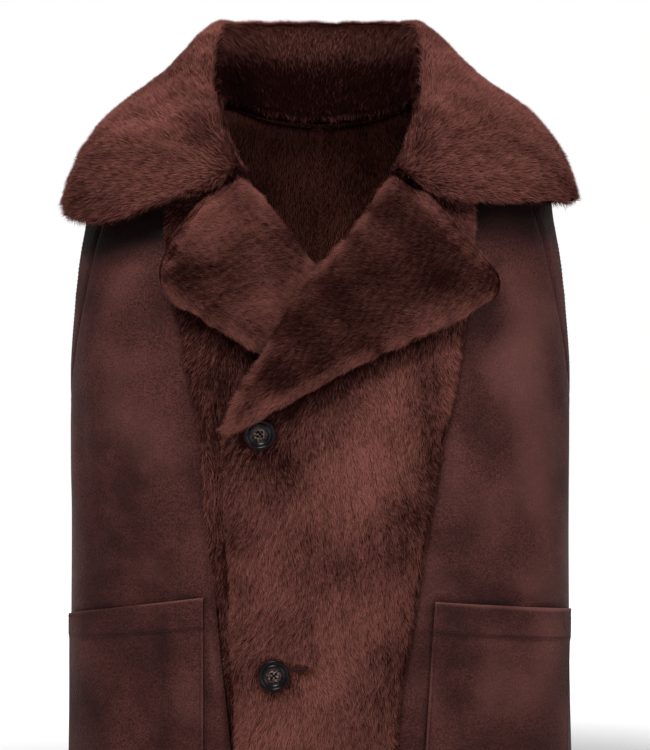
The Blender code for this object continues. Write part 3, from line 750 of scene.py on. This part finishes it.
def lay_pile(name, bed, count, comb, finish, seed, reach=9 * MM, seen=None, trim=None, tone=None,
             mottle=1.0):
    """Spreads slender blades evenly over a bed and returns them as one piece.

    comb gives the nap, seen a share of the strands, trim a share of their length and tone how
    much lighter they are, each as a rule for places on the bed.
    """
    mesh = bed.data
    mesh.calc_loop_triangles()
    points, normals = points_of(bed)
    tris = np.empty(len(mesh.loop_triangles) * 3, dtype=np.int64)
    mesh.loop_triangles.foreach_get("vertices", tris)
    tris = tris.reshape(-1, 3)
    a, b, c = (points[tris[:, k]] for k in range(3))
    cross = np.cross(b - a, c - a)
    area = np.linalg.norm(cross, axis=1) / 2
    middle, facing = (a + b + c) / 3, unit(cross)
    weight = area * np.array([openness(m, f) for m, f in zip(middle, facing)])
    weight *= 1 + 1.5 * eased(0.4, 0.9, facing[:, 2])
    if seen:
        weight *= seen(middle, facing)
    order = np.arange(count)
    pick = np.searchsorted(np.cumsum(weight), (order + 0.5) / count * weight.sum())
    r1 = np.sqrt((seed * 0.37 + order * EVEN_STEPS[0]) % 1)
    r2 = (order * EVEN_STEPS[1]) % 1
    share = np.stack([1 - r1, r1 * (1 - r2), r1 * r2], axis=1)[:, :, None]
    root = (points[tris[pick]] * share).sum(axis=1)
    out = unit((normals[tris[pick]] * share).sum(axis=1))

    dice = np.random.default_rng(seed)
    patch = slow_noise(root, 0.045, seed) * 0.6 + slow_noise(root, 0.016, seed + 1) * 0.4
    speckle = 0.20 * dice.normal(size=count) + 0.16 * slow_noise(root, 0.0014, seed + 4)
    light = 0.43 + mottle * speckle + 0.24 * patch
    if tone:
        light += tone(root, out)
    nap = comb(root, out)
    nap = unit(nap - out * (nap * out).sum(axis=1, keepdims=True))
    turn = radians(10) * dice.normal(size=count) + radians(24) * slow_noise(root, 0.028, seed + 2)
    turn = (turn + radians(10) * slow_noise(root, 0.006, seed + 3))[:, None]
    nap = nap * np.cos(turn) + np.cross(out, nap) * np.sin(turn)
    beside = np.cross(out, nap)

    upright = eased(0.5, 0.95, out[:, 2])[:, None]  # on a roll's crest the pile stands up
    size = (reach * dice.uniform(0.72, 1.12, count))[:, None] * (1 - 0.35 * upright)
    if trim:
        size *= trim(root)[:, None]
    rise = ((1 + 0.22 * patch) * dice.uniform(0.75, 1.25, count))[:, None] * (1 + 0.5 * upright)
    tip = root + out * size * 0.40 * rise + nap * size * 0.88 * (1 - 0.6 * upright)
    roll = radians(30) * dice.uniform(-1, 1, count)[:, None]
    flat = beside * np.cos(roll) + out * np.sin(roll)
    half = (BLADE / 2 * dice.uniform(0.7, 1.3, count))[:, None]
    foot = root - out * 0.3 * MM
    blades = np.stack([foot + flat * half, foot - flat * half, tip], axis=1).reshape(-1, 3)

    chart = np.empty((count, 3, 2))  # along the strand, and how light it is
    chart[:, :, 0] = [0.02, 0.02, 0.98]
    chart[:, :, 1] = np.clip(light, 0.02, 0.98)[:, None] + np.array([-1, 1, 0]) * 0.004

    made = bpy.data.objects.new(name, bpy.data.meshes.new(name))
    made.data.from_pydata(blades.tolist(), [], np.arange(3 * count).reshape(-1, 3).tolist())
    made.data.uv_layers.new(name="OFBake").data.foreach_set("uv", chart.ravel())
    made.data.shade_smooth()
    blade = unit(np.cross(tip - foot, flat))
    rim = 1 - eased(0.25, 0.65, np.abs(out[:, 1:2]))  # where the bed turns away from front and back
    level = rim * np.sign(blade[:, 1:2]) * [0, 0.7, 0]
    soft = unit((0.85 - 0.65 * rim) * out + 0.15 * blade + level)
    made.data.normals_split_custom_set_from_vertices(np.repeat(soft, 3, axis=0).tolist())
    made.data.materials.append(finish)
    bpy.context.scene.collection.objects.link(made)
    print(name, count, "strands")
    return made


# %% [markdown]
# ## Which way the pile is brushed
# On the fronts the nap runs down.  A lapel is the same front turned back along its roll, so
# its nap is mirrored in the roll: it runs towards the roll and only a little down.  The
# collar's pile fans out from where the collar meets the lapel, and runs down behind and in the
# neck.  Along a seam the pile is brushed over it, which hides the seam.

# %% Naps of the fronts and lapels
def front_nap(points, out):
    side = np.sign(points[:, 0])
    spread = 0.30 * eased(0.05, 0.13, np.abs(points[:, 0]))
    return np.stack([side * spread, np.zeros(len(points)), -np.ones(len(points))], axis=1)


def lapel_nap(side):
    by_collar = closeness(["collar"], 1 * MM, 12 * MM)

    def nap(points, out):
        low = eased(-0.20, -0.32, points[:, 2])
        across = -side * (0.95 - 0.35 * low)
        up = 1.5 * by_collar(points) - 0.28 - 0.5 * low  # up over the seam to the collar
        return np.stack([across, np.zeros(len(points)), up], axis=1)

    return nap


# %% Naps of the collar and lining
GORGE = np.array([72, -118, -78]) * MM  # where collar and lapel meet, on the left


def in_neck(points, out):
    """1 where the pile looks inward to the neck, 0 where it looks out."""
    axis = unit(points * [1, 1, 0] - [0, -0.02, 0])
    return eased(0.35, 0.85, -(axis * out).sum(axis=1))


by_lapels = closeness(
    ["lapel_left", "lapel_right", "front_left_fur", "front_right_fur"], 1 * MM, 14 * MM
)


def neck_crease(points):
    """How far a point lies above the crease between the stand and the back, in metres."""
    return points[:, 2] + 6.5 * MM - 16.5 * MM * np.minimum(np.abs(points[:, 0]) / 0.09, 1) ** 2


def collar_nap(points, out):
    side = np.where(points[:, 0] < 0, -1.0, 1.0)[:, None]
    fan = unit(points - GORGE * np.concatenate([side, side**2, side**2], axis=1))
    fan[:, 2] -= 0.15
    behind = np.concatenate([side * 0.12, side**2 * 0.6, side**2 * -1.0], axis=1)
    share = eased(-0.01, 0.07, points[:, 1])[:, None]
    nap = unit(fan) * (1 - share) + behind * share
    nap[:, 2] -= 1.3 * by_lapels(points) * (points[:, 1] < 0)
    inside = in_neck(points, out)[:, None]
    return nap * (1 - inside) + np.array([0, 0, -1.0]) * inside


def lining_nap(points, out):
    """Down, and over the centre back seam and the neck seam."""
    behind = points[:, 1] > 0
    over = -0.7 * np.sign(points[:, 0]) * eased(0.016, 0.0, np.abs(points[:, 0])) * behind
    up = 2.2 * eased(-0.008, -0.003, neck_crease(points)) * behind
    return np.stack([over, np.zeros(len(points)), up - 1], axis=1)


# %% The fur's backing
# Hidden buttonholes draw the pile in: x, z, radius and depth in mm.
DIMPLES = [(-112, -160, 9, 2.2), (122, -172, 10, 2.4)]


def furry(node, sink, plump, seed):
    """The fur's backing: the whole solid, refined, hilly, and drawn in to leave the pile room.

    Where a neighbour is sewn to it, the backing stays at the seam.
    """
    made = refined(node + "_backing", node, 1)
    points, normals = points_of(made)
    free = 1 - closeness([other for other in solids if other != node], 0.5 * MM, 7 * MM)(points)
    drawn = sink * (1 - 0.5 * eased(0.55, 0.95, normals[:, 2]))
    drawn -= plump * slow_noise(points, 0.008, seed)
    if "lapel" in node:
        front = eased(0.3, 0.7, -normals[:, 1])
        for x, z, wide, deep in DIMPLES:
            off = np.hypot(points[:, 0] / MM - x, points[:, 2] / MM - z)
            drawn += deep * MM * np.exp(-((off / wide) ** 2)) * front
    move_points(made, points - normals * (drawn * free)[:, None])
    made.data.materials.append(backing.material)
    return made


# %% Light rims on the lapels
def lapel_tone(bed, base):
    """Paints a lapel's rim and roll lighter, as a painted highlight, and its middle in patches of
    painted shade and light, partly from the nap's brushing.
    """
    points, normals = points_of(bed)
    edge = points[np.abs(normals[:, 1]) < 0.35]
    tree = KDTree(len(edge))
    for i, (x, _, z) in enumerate(edge):
        tree.insert((x, 0, z), i)
    tree.balance()

    def tone(points, out):
        far = np.array([tree.find((p[0], 0, p[2]))[2] for p in points])
        lit = 1 - eased(1 * MM, 15 * MM, far)
        return base + 0.6 * shade_and_nap_patches(LAPEL_PATCHES)(points) + 0.34 * lit

    return tone


# %% Patches of painted shade and light, and of the nap's brushing
FRONT_PATCHES = [  # x, z, half width, half height in mm, how light
    (-58, -348, 34, 22, -0.26), (104, -330, 12, 80, -0.24), (86, -420, 16, 60, -0.18),
    (20, -440, 30, 34, -0.14), (-70, -470, 14, 70, -0.10), (40, -345, 34, 60, 0.14),
    (10, -520, 26, 70, 0.10), (60, -560, 16, 60, -0.16), (-30, -600, 30, 40, 0.10),
    (-62, -590, 12, 60, 0.08), (70, -290, 12, 40, 0.10), (-20, -400, 16, 26, -0.08),
]
COLLAR_PATCHES = [
    (-104, -34, 20, 22, -0.24), (-84, -58, 12, 10, -0.16), (-100, 40, 14, 24, -0.12),
    (-150, -20, 34, 16, 0.06), (-170, -70, 36, 22, 0.16), (-140, -104, 30, 8, 0.10),
    (-120, 10, 22, 14, 0.10), (-196, -20, 20, 20, 0.04), (94, -30, 12, 34, -0.20),
    (104, -92, 22, 8, -0.18), (170, -55, 40, 30, 0.14), (128, 16, 22, 20, 0.08),
    (140, -85, 30, 9, -0.06), (206, -70, 20, 18, 0.08), (86, 40, 12, 18, -0.06),
    (118, -10, 12, 16, 0.08),
]
LAPEL_PATCHES = [
    (-40, -135, 18, 26, -0.16), (-62, -112, 16, 12, -0.06), (-108, -166, 12, 9, -0.22),
    (-134, -164, 16, 13, -0.20), (-92, -152, 10, 14, 0.10), (-60, -204, 26, 14, 0.10),
    (-120, -196, 20, 10, 0.14), (-14, -168, 10, 14, 0.08), (-118, -120, 16, 14, 0.08),
    (28, -186, 30, 22, -0.16), (-10, -228, 30, 20, -0.14), (76, -140, 30, 16, -0.04),
    (118, -172, 16, 12, -0.22), (60, -222, 34, 10, 0.16), (106, -206, 28, 10, 0.12),
    (70, -104, 16, 12, 0.04), (-50, -282, 20, 16, 0.06), (-80, -318, 10, 12, 0.10),
    (150, -190, 16, 14, 0.06),
]


def collar_tone(points, out):
    """Patches on the fall, painted shade and light partly from the nap's brushing, a painted
    highlight on the crest, and painted shade on the stand's inner side, darkest low down.
    """
    inside = in_neck(points, out)
    fall = shade_and_nap_patches(COLLAR_PATCHES, -0.11)(points) * (points[:, 1] < 0.05) * (1 - inside)
    crest = 0.12 * eased(0.5, 0.9, out[:, 2])
    return fall + crest - inside * (0.18 + 0.48 * eased(0.076, 0.040, points[:, 2]))


# Painted shade under the lapels and the collar, for the pile of the fronts.
under_lapels = closeness(["lapel_left", "lapel_right", "collar"], 2 * MM, 24 * MM)


def left_front_tone(points, out):
    """Patches, painted shade and light partly from the nap's brushing, and painted shade under the
    lapels and collar that ends where their tip rolls into the front.
    """
    shaded = under_lapels(points) * eased(-0.095, -0.06, points[:, 0])
    return shade_and_nap_patches(FRONT_PATCHES)(points) - 0.55 * shaded


# Darker overall, and painted shade under the lapels and collar.
def right_front_tone(points, out):
    return -0.12 - 0.4 * under_lapels(points)


# %% Where the pile is short or sparse
# x, z and radius in mm of the two buttons and the buttonhole
SEWN_ON = [(-56, -322, 17), (-43, -552, 17), (-19, -546, 9)]


def clear_of_buttons(points):
    """0 on the buttons and in the buttonhole, 1 away from them."""
    share = np.ones(len(points))
    for x, z, wide in SEWN_ON:
        flat = 1 if wide > 10 else 1.6  # the buttonhole is wider than high
        off = np.hypot(points[:, 0] / MM - x, (points[:, 2] / MM - z - 2) * flat)
        share = np.minimum(share, eased(wide - 3, wide + 7, off))
    return share


def clipped_at_hem(points):
    return 0.35 + 0.65 * eased(cad_low.z, cad_low.z + 0.012, points[:, 2])


def longer_at_neck(points):
    """The pile above the neck seam hangs over it."""
    behind = (points[:, 1] > 0.0) * (np.abs(points[:, 0]) < 0.1)
    return 1 + 0.8 * eased(0.012, 0.002, neck_crease(points)) * behind


lengths = {
    "front_left_fur": lambda p: (0.22 + 0.78 * clear_of_buttons(p)) * clipped_at_hem(p),
    "front_right_fur": clipped_at_hem,
    "collar": longer_at_neck,
}
shares = {  # where the strands go, by place and by the way the bed faces
    "collar": lambda p, n: 0.7 + 0.3 * (p[:, 1] < -0.02),
    "front_left_fur": lambda p, n: (
        np.where(n[:, 1] < 0.2, 1.0, 0.2) * (0.35 + 0.65 * clear_of_buttons(p))
    ),
    "front_right_fur": lambda p, n: np.where(n[:, 1] < 0.2, 1.0, 0.5),
}

# %% Fur pieces
SINK = 3.4 * MM  # how much lower the backing lies than the tips
fur = {}
for node, parts, count, nap, tone, seed in (
    ("collar", 2, 140000, collar_nap, collar_tone, 11),
    ("lapel_left", 1, 78000, lapel_nap(1), -0.28, 21),
    ("lapel_right", 1, 50000, lapel_nap(-1), -0.22, 31),
    ("front_left_fur", 1, 165000, front_nap, left_front_tone, 41),
    ("front_right_fur", 1, 50000, front_nap, right_front_tone, 51),
):
    bed = furry(node, SINK, (0.6 if "front" in node else 1.5) * MM, seed)
    mottle = 1.0
    if "lapel" in node:
        tone, mottle = lapel_tone(bed, tone), 0.6
    points, normals = points_of(bed)
    store(bed, "light", np.clip(0.5 + tone(points, normals), 0, 1))
    strands = [
        lay_pile(
            f"{node}_pile_{part + 1}", bed, count, nap, pile, seed + part, tone=tone,
            seen=shares.get(node), trim=lengths.get(node), mottle=mottle,
        )
        for part in range(parts)
    ]
    fur[node] = (bed, strands)

# %% [markdown]
# ## The pile lining
# Inside, the same cloth shows its pile.  It is seen in the neck, through the armholes and from
# below.  Its strands are painted darker than the outer pile, as painted shade for the little
# light that reaches in, and painted darker still towards the wearer's left.

# %% Lining
def lining_share(points, facing):
    """Most strands go where the neck shows the lining."""
    below = 1 + eased(-0.02, 0, neck_crease(points))
    seen = below * eased(-0.30, -0.18, points[:, 2]) * (np.abs(points[:, 0]) < 0.12)
    return 0.16 + seen


linings = {}
for node, count, seed in (
    ("back_left", 40000, 61), ("back_right", 40000, 62),
    ("front_left_suede", 14000, 63), ("front_right_suede", 14000, 64),
):
    bed = refined(node + "_bed", node, 1, lambda face: outward(face) < -0.2)
    points, normals = points_of(bed)
    middle = points * [0, 0, 1]
    middle[:, 2] = np.minimum(middle[:, 2], -0.25)
    inward = -(unit(points - middle) * normals).sum(axis=1)
    move_points(bed, points - normals * (1.5 * MM + 3.5 * MM * eased(0.3, 0.8, inward))[:, None])
    linings[node] = lay_pile(
        node + "_lining", bed, count, lining_nap, lining_pile, seed, reach=7 * MM,
        seen=lining_share,
        # Painted shade, darker towards the wearer's left.
        tone=lambda p, n: -0.22 * eased(0.0, 0.06, p[:, 0]),
        trim=lambda p: 0.35 + 0.65 * eased(cad_low.z, cad_low.z + 0.02, p[:, 2]),
    )
    bpy.data.objects.remove(bed)

# %% [markdown]
# ## Patch pockets
# Each pocket is a patch of the same suede, sewn on at its sides and bottom.  Its mouth is
# turned in twice and stitched across about 29 mm down, so the band there is a little thicker.
# Its edge is painted lighter, most at the mouth, partly as rubbed wear and partly as a painted
# highlight, and painted shade darkens a line along the stitches across the mouth.

# %% Pockets
MOUTH_HEM = 29 * MM  # from a pocket's mouth down to its stitches
pockets = {}
for node, side in (("pocket_left", 1), ("pocket_right", -1)):
    face = refined(node + "_face", node, 3, lambda f: outward(f) > 0.5)
    points, normals = points_of(face)
    top = points[:, 2].max()
    mouth = top - 0.014 * np.clip((np.abs(points[:, 0]) - 0.11) / 0.14, 0, 1)  # falls to the side
    down = mouth - points[:, 2]
    far = edge_distance(face)
    fold = points[:, 0] / MM - side * 147
    band = eased(MOUTH_HEM + 4 * MM, MOUTH_HEM, down) * 0.8 * MM
    sag = 1.1 * MM * np.exp(-((fold / 9) ** 2)) * eased(40 * MM, 90 * MM, down)
    rolled = -0.9 * MM * (1 - eased(0, 3 * MM, far))
    rolled -= 0.5 * MM * np.exp(-(((far - 3.2 * MM) / (1.6 * MM)) ** 2))
    move_points(face, points + normals * (band + sag + rolled)[:, None])
    # A painted highlight with rubbed wear along the edge, most at the mouth, and painted shade
    # along the stitches across the mouth; the patches paint shade and light too.
    rubbed_and_highlit_edge = 0.35 * (1 - eased(0, 2.5 * MM, far)) + 0.5 * (1 - eased(1 * MM, 3 * MM, down))
    painted_hem_shade = 0.3 * np.exp(-(((down - MOUTH_HEM - 0.5 * MM) / (2 * MM)) ** 2))
    patches = 0.75 * shade_and_nap_patches(SUEDE_PATCHES)(points) + 0.2 * slow_noise(points, 0.03, 6)
    store(face, "painted_light_and_wear", np.clip(patches + rubbed_and_highlit_edge - painted_hem_shade, -0.9, 0.9))
    face.data.materials.append(suede.material)
    line = edge_line(face, 3.2 * MM, lambda p: p.z < top - 0.02)
    line += edge_line(face, MOUTH_HEM, lambda p: p.z > top - 0.019)
    sewn = stitch(node + "_sewing", line, pitch=2.7 * MM, long=2.7 * MM, thick=0.9 * MM)
    thicken(face, 2.0 * MM)
    pockets[node] = (face, sewn)

# %% [markdown]
# ## Buttons
# A horn button is turned on a lathe: a flat rim, a groove, and a dished middle with four holes.
# Its profile is spun round the axis, the holes are cut with four small drums, and black thread
# crosses through them.  The horn is nearly black, marbled pale round the holes, and polished.

# %% Horn and black thread
horn = Finish("polished horn")
swirl = horn.noise(520.0, 4.0, 0.6, twist=1.5)
marbled = horn.stored("heart") * swirl.above(0.44, 0.60)
horn.set(
    Base_Color=horn.mix(marbled, paint(9, 5, 6), paint(118, 94, 88)),
    Roughness=swirl * 0.14 + 0.22, Coat_Weight=0.06, Coat_Roughness=0.08,
)
horn.reflect(0.06)
cotton = yarn("black thread", paint(6, 4, 4), paint(18, 12, 12), 0.1)

# %% Where a button lies
def seat(node):
    """Turns and moves a form that stands on its back at the origin to where its solid lies."""
    points = np.array([v.co for v in solids[node].data.vertices])
    _, _, axes = np.linalg.svd(points - points.mean(axis=0), full_matrices=False)
    out = Vector(axes[2])
    out = out if out.y < 0 else -out
    lowest = min(Vector(p).dot(out) for p in points)
    middle = Vector((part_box(node)[0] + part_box(node)[1]) / 2)
    foot = middle + out * (lowest - middle.dot(out))
    return Matrix.Translation(foot) @ out.to_track_quat("Z", "Y").to_matrix().to_4x4()


# %% A turned disc with four holes
PROFILE = [  # radius and height in mm, from the middle out and round to the back
    (0.0, 1.5), (3.0, 1.5), (6.0, 1.65), (8.2, 2.2), (9.5, 2.9), (10.2, 2.5), (10.9, 2.3),
    (11.6, 2.9), (12.6, 3.75), (13.6, 3.8), (14.5, 3.3), (15.0, 2.3), (14.8, 1.2), (13.8, 0.5),
    (11.0, 0.2), (0.0, 0.2),
]
HOLE = 1.3 * MM
FROM_MIDDLE = 2.9 * MM


def horn_disc(name):
    bm = bmesh.new()
    line = [bm.verts.new((r * MM, 0, h * MM)) for r, h in PROFILE]
    edges = [bm.edges.new(pair) for pair in zip(line, line[1:])]
    bmesh.ops.spin(
        bm, geom=line + edges, cent=(0, 0, 0), axis=(0, 0, 1), angle=2 * pi, steps=64,
        use_merge=True,
    )
    bmesh.ops.remove_doubles(bm, verts=bm.verts, dist=0.005 * MM)
    bmesh.ops.recalc_face_normals(bm, faces=bm.faces)
    disc = placed(name, bm)
    drums = bmesh.new()
    for i in range(4):
        round_to = Matrix.Rotation(i * pi / 2 + pi / 4, 4, "Z")
        bmesh.ops.create_cone(
            drums, cap_ends=True, segments=16, radius1=HOLE, radius2=HOLE, depth=6 * MM,
            matrix=round_to @ Matrix.Translation((FROM_MIDDLE, 0, 1 * MM)),
        )
    cutter = placed("drums", drums)
    cut = disc.modifiers.new("holes", "BOOLEAN")
    cut.object, cut.operation, cut.solver = cutter, "DIFFERENCE", "EXACT"
    applied(disc)
    bpy.data.objects.remove(cutter)
    places, _ = points_of(disc)
    store(disc, "heart", eased(7.4 * MM, 3.2 * MM, np.hypot(places[:, 0], places[:, 1])))
    disc.data.shade_smooth()
    disc.data.set_sharp_from_angle(angle=radians(40))
    disc.data.materials.append(horn.material)
    return disc


# %% Thread crossed through the holes
def crossed_thread(name):
    """Two strands each way: up out of one hole, over the middle, down into the one across."""
    bm = bmesh.new()
    for i in range(2):
        for y in (-0.24, 0.24):
            path = [
                Vector((x, y, z)) * MM for x, z in (
                    (-2.7, -0.2), (-2.5, 1.6), (-1.2, 2.25),
                    (1.2, 2.25 + 0.25 * i), (2.5, 1.6), (2.7, -0.2),
                )
            ]
            ring = bmesh.ops.create_circle(
                bm, segments=8, radius=0.26 * MM, matrix=Matrix.Translation(path[0])
            )
            rim = {e for v in ring["verts"] for e in v.link_edges}
            moved = ring["verts"]
            for a, b in zip(path, path[1:]):
                grown = bmesh.ops.extrude_edge_only(bm, edges=list(rim))["geom"]
                fresh = [g for g in grown if isinstance(g, bmesh.types.BMVert)]
                rim = {e for v in fresh for e in v.link_edges if e.other_vert(v) in fresh}
                bmesh.ops.translate(bm, verts=fresh, vec=b - a)
                moved = moved + fresh
            crossed = Matrix.Rotation(pi / 4 + i * pi / 2, 3, "Z")
            bmesh.ops.rotate(bm, verts=moved, cent=(0, 0, 0), matrix=crossed)
    bmesh.ops.recalc_face_normals(bm, faces=bm.faces)
    return placed(name, bm, cotton)


# %% Both buttons
buttons = {}
for node in ("button_upper", "button_lower"):
    buttons[node] = (horn_disc(node + "_horn"), crossed_thread(node + "_thread"))
    for piece in buttons[node]:
        piece.data.transform(seat(node))
print(len(buttons), "buttons")

# %% [markdown]
# ## Buttonhole
# The lower button's hole runs out from under it: a slit, which is a dark bar standing in for the
# shade in its opening, with a whipped lip above and below, set into the clipped pile.

# %% Buttonhole
SUNK = 2.2 * MM  # how far the hole lies under the tips of the pile


def bars(name, places, half):
    """Small round bars, each with its half sizes along x, y and z."""
    bm = bmesh.new()
    for x, z in places:
        hit = covering.ray_cast(Vector((x * MM, -1, z * MM)), Vector((0, 1, 0)))[0]
        shape = Matrix.Diagonal((*(h * MM for h in half), 1))
        bmesh.ops.create_icosphere(
            bm, subdivisions=2 if len(places) == 1 else 1, radius=1,
            matrix=Matrix.Translation(hit + Vector((0, SUNK, 0))) @ shape,
        )
    return placed(name, bm, thread)


lips = [(-31 + 1.1 * k, -546 + side) for k in range(17) for side in (-1.3, 1.3)]
hole = [
    bars("buttonhole_lips", lips, (0.5, 1.0, 1.3)),
    # The slit is a dark bar standing in for the shade inside the opening.
    bars("buttonhole_slit", [(-22, -546)], (9.5, 1.6, 0.5)),
]

# %% [markdown]
# ## Handing the pieces over
# Every piece rides on the one body, and the solids that the pieces replace are hidden.  For
# each cloth piece, how large it is cut is printed.

# %% Hand over
BACKS = ["back_left_cloth", "back_right_cloth"]


def hand_over(slot, *pieces):
    for piece in pieces:
        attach(piece, "root")


for node, (panel, sewn) in suede_panels.items():
    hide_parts(node)
    hand_over("suede", panel, sewn)
    with_it = [sewn] + ([linings[node]] if node in linings else [])
    cut = cut_of(panel, strip=26 * MM if "band" in node else None)
    declare(panel, cut, ["collar_backing"] if "back" in node else BACKS)
for node, (bed, strands) in fur.items():
    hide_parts(node)
    hand_over("fur", bed, *strands)
    if node == "collar":
        declare(bed, cut_of_collar(bed), BACKS)
    elif "lapel" in node:
        front = node.replace("lapel", "front") + "_fur_backing"
        declare(bed, cut_of(bed), [front])
    else:
        declare(bed, cut_of(bed), BACKS)
hand_over("fur", *linings.values())
for node, (face, sewn) in pockets.items():
    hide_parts(node)
    hand_over("suede", face, sewn)
    declare(face, cut_of(face), [node.replace("pocket", "front") + "_suede_cloth"])
hand_over("fur", *hole)
for node, (disc, cross) in buttons.items():
    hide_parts(node)
    hand_over("horn", disc, cross)

# %% Sizes and finish
triangles = {
    made.name: sum(len(face.vertices) - 2 for face in made.data.polygons)
    for made in bpy.context.scene.objects
    if made.type == "MESH" and not made.hide_render
}
largest = max(triangles, key=triangles.get)
print(sum(triangles.values()), "triangles, most of them in", largest)
